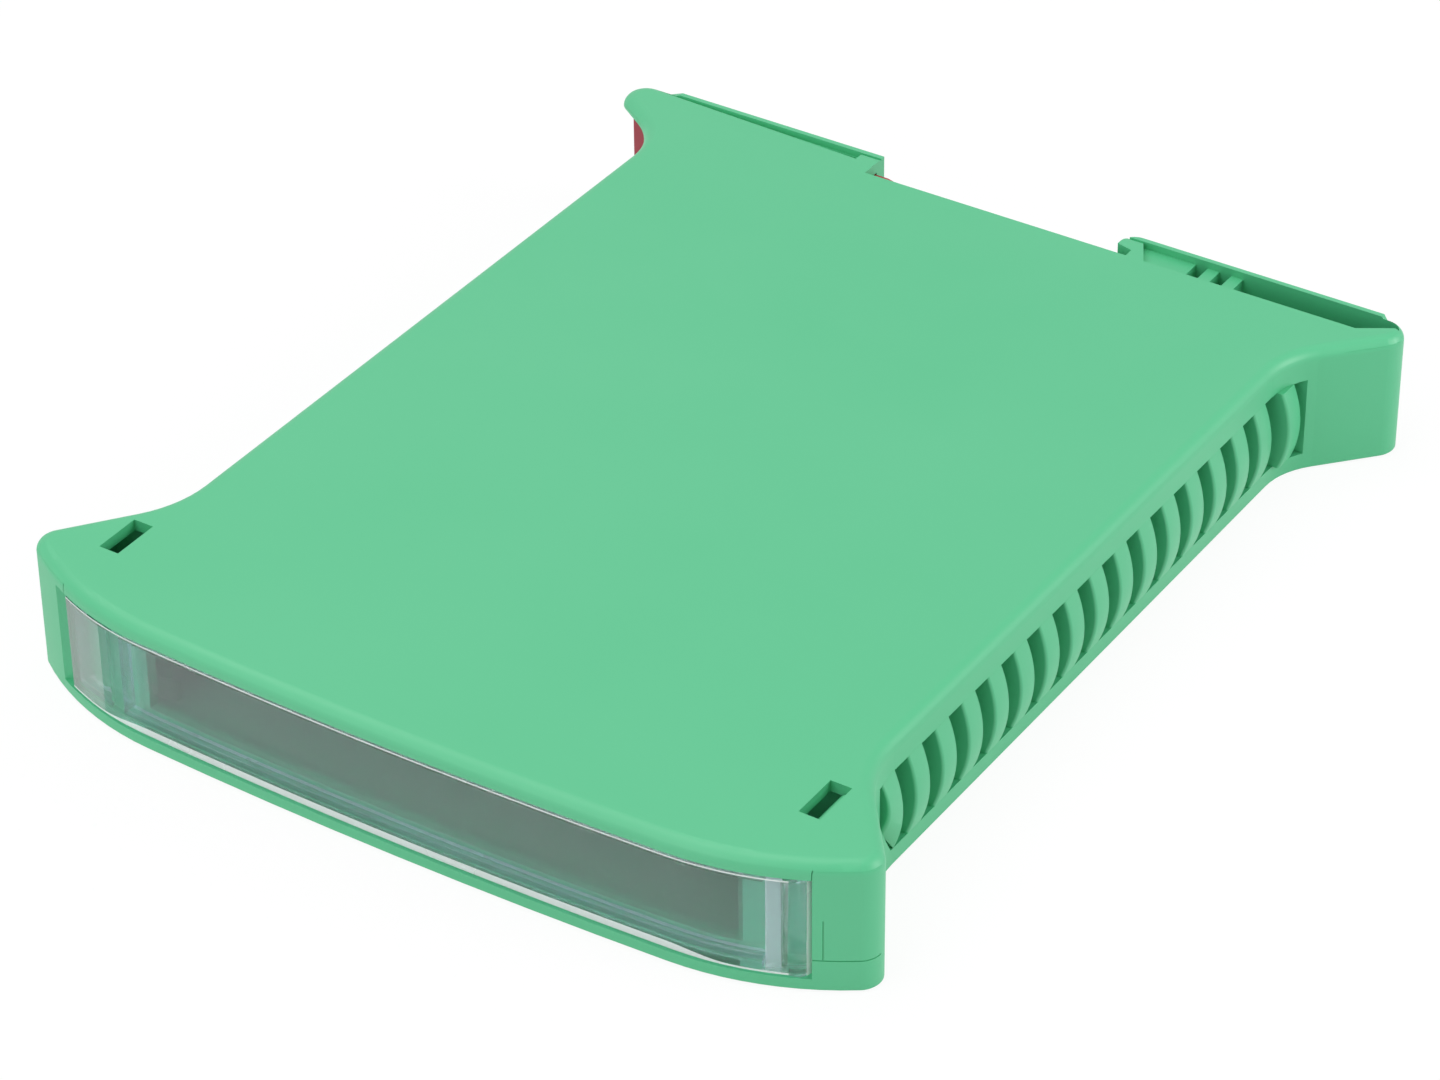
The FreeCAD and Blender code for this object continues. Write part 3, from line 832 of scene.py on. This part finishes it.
        # Clear plastic lets the lamps' light through, which a refracting shadow would lose.
        cover.visible_shadow = False
        return cover


@dataclass
class MouldedParts:
    """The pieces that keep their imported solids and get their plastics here."""

    finishes: dict[str, bpy.types.Material] = field(default_factory=dict)

    def dress(self, nodes: dict[str, bpy.types.Object]) -> None:
        """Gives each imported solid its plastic.

        Args:
            nodes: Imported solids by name.
        """
        for name, material in self.finishes.items():
            part = nodes[name]
            if not part.data.materials:
                part.data.materials.append(material)
            for slot in part.material_slots:
                slot.material = material
            LOG.info("dressed %s in %s", name, material.name)


@dataclass(frozen=True)
class Lamp:
    """A soft lamp with a square face that looks at the housing, in metres and watts."""

    name: str
    place: tuple[float, float, float]
    size: float
    watts: float

    def build(self) -> bpy.types.Object:
        """Hangs the lamp.

        Returns:
            The lamp, turned towards the origin.
        """
        data = bpy.data.lights.new(self.name, "AREA")
        data.size = self.size
        data.energy = self.watts
        lamp = bpy.data.objects.new(self.name, data)
        bpy.context.scene.collection.objects.link(lamp)
        place = Vector(self.place)
        lamp.location = place
        lamp.rotation_euler = (-place).to_track_quat("-Z", "Y").to_euler()
        return lamp


@dataclass
class Studio:
    """Pale floor, soft lamps and the camera at the angle of the picture.

    Lengths are in metres and angles in degrees, but the lens and its sensor are in millimetres.
    """

    focal_length: float = 124.375
    sensor: float = 36.0
    camera_place: tuple[float, float, float] = (0.27416, -0.4193, 0.3500)
    azimuth: float = 33.245
    elevation: float = 34.680
    roll: float = -0.566
    nearest: float = 0.01
    floor_size: float = 6.0
    floor_drop: float = 0.0002
    paper: str = "#F7F7F7"
    paper_glow: float = 1.02
    glow_share: float = 0.9
    sky: float = 0.38
    lamps: tuple[Lamp, ...] = (
        Lamp("overhead", (-0.25, -0.1, 0.9), size=0.9, watts=4.4),
        Lamp("right", (0.86, 0.34, 0.42), size=0.5, watts=4.0),
        Lamp("front", (-0.2, -0.9, 0.45), size=0.7, watts=2.6),
    )

    def camera(self) -> bpy.types.Object:
        """Places the camera.

        Returns:
            The camera, set as the camera of the scene.
        """
        turn, tilt, roll = (math.radians(v) for v in (self.azimuth, self.elevation, self.roll))
        right = Vector((math.cos(turn), math.sin(turn), 0))
        up = Vector((-math.sin(turn) * math.sin(tilt), math.cos(turn) * math.sin(tilt),
                     math.cos(tilt)))
        back = right.cross(up)
        along = right * math.cos(roll) + up * math.sin(roll)
        over = up * math.cos(roll) - right * math.sin(roll)
        data = bpy.data.cameras.new("camera")
        data.sensor_fit = "HORIZONTAL"
        data.sensor_width = self.sensor
        data.lens = self.focal_length
        data.clip_start = self.nearest
        view = bpy.data.objects.new("camera", data)
        bpy.context.scene.collection.objects.link(view)
        turned = Matrix((along, over, back)).transposed().to_4x4()
        view.matrix_world = Matrix.Translation(self.camera_place) @ turned
        bpy.context.scene.camera = view
        return view

    def sight(self, tree: bpy.types.NodeTree) -> bpy.types.NodeSocket:
        """Tells the rays that show a backdrop from those that light the housing.

        Args:
            tree: Node tree of the backdrop.

        Returns:
            A socket that is one for rays straight from the camera, in gloss or through glass.
        """
        rays = add(tree, "ShaderNodeLightPath")
        straight = add(tree, "ShaderNodeMath", {"operation": "MAXIMUM"},
                       links={0: rays.outputs["Is Camera Ray"],
                              1: rays.outputs["Is Transmission Ray"]})
        either = add(tree, "ShaderNodeMath", {"operation": "MAXIMUM"},
                     links={0: straight.outputs[0], 1: rays.outputs["Is Glossy Ray"]})
        return either.outputs[0]

    def floor(self) -> bpy.types.Object:
        """Lays a pale paper floor that reads as white and keeps the shadow of the housing.

        Returns:
            The floor.
        """
        form = bmesh.new()
        bmesh.ops.create_grid(form, x_segments=1, y_segments=1, size=self.floor_size / 2)
        bmesh.ops.translate(form, verts=form.verts, vec=(0, 0, -self.floor_drop))
        mesh = bpy.data.meshes.new("floor")
        form.to_mesh(mesh)
        form.free()
        floor = mesh_object("floor", mesh)
        material, tree = fresh_material("white_paper_floor")
        paper = add(tree, "ShaderNodeBsdfDiffuse", values={"Color": linear(self.paper)})
        glow = add(tree, "ShaderNodeEmission",
                   values={"Color": WHITE, "Strength": self.paper_glow})
        seen = add(tree, "ShaderNodeMath", {"operation": "MULTIPLY"},
                   links={0: self.sight(tree)}, values={1: self.glow_share})
        mixed = add(tree, "ShaderNodeMixShader",
                    links={0: seen.outputs[0], 1: paper.outputs[0], 2: glow.outputs[0]})
        add(tree, "ShaderNodeOutputMaterial", links={"Surface": mixed.outputs[0]})
        floor.data.materials.append(material)
        return floor

    def world(self) -> None:
        """Sets a plain bright surround: white to the eye, softer as light."""
        world = bpy.data.worlds.new("studio")
        bpy.context.scene.world = world
        world.use_nodes = True
        tree = world.node_tree
        tree.nodes.clear()
        soft = add(tree, "ShaderNodeBackground", values={"Color": WHITE, "Strength": self.sky})
        white = add(tree, "ShaderNodeBackground", values={"Color": WHITE, "Strength": 1.0})
        mixed = add(tree, "ShaderNodeMixShader",
                    links={0: self.sight(tree), 1: soft.outputs[0], 2: white.outputs[0]})
        add(tree, "ShaderNodeOutputWorld", links={"Surface": mixed.outputs[0]})

    def build(self) -> None:
        """Sets up the floor, the surround, the lamps and the camera."""
        self.floor()
        self.world()
        for lamp in self.lamps:
            lamp.build()
        self.camera()
        bpy.context.scene.view_settings.view_transform = "Standard"


def main() -> None:
    """Loads the frame, builds and dresses the pieces, sets the studio and logs what it built."""
    logging.basicConfig(level=logging.INFO, format="%(message)s")
    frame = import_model()
    plan = PlanCurve()
    green = GREEN_ABS.build()
    red = RED_POLYAMIDE.build()
    clear = CLEAR_POLYCARBONATE.build()
    # painted highlight for the cover's edges and rims
    painted_edge_highlight = HIGHLIGHT_PAINT_POLYCARBONATE.build()
    dull_pad = DULL_POLYCARBONATE.build()
    parts = MouldedParts({"base_shell": green, "side_cover": green, "foot_latch": red,
                          "front_cover": clear, "right_vent_grille": green,
                          "left_vent_grille": green})
    parts.dress(frame["nodes"])
    for grille in (VentGrille(Side.RIGHT, plan, start=-43.8, end=56.0),
                   VentGrille(Side.LEFT, plan, start=-43.8, end=49.1)):
        piece = grille.build(green)
        LOG.info("built %s with %d ribs", piece.name, grille.count())
    cover = FrontCover(plan, finishes=[clear, painted_edge_highlight, dull_pad]).build()
    LOG.info("built %s", cover.name)
    Studio().build()
    LOG.info("set the floor, %d lamps and the camera", len(Studio.lamps))
    bpy.context.view_layer.update()


if __name__ == "__main__":
    main()
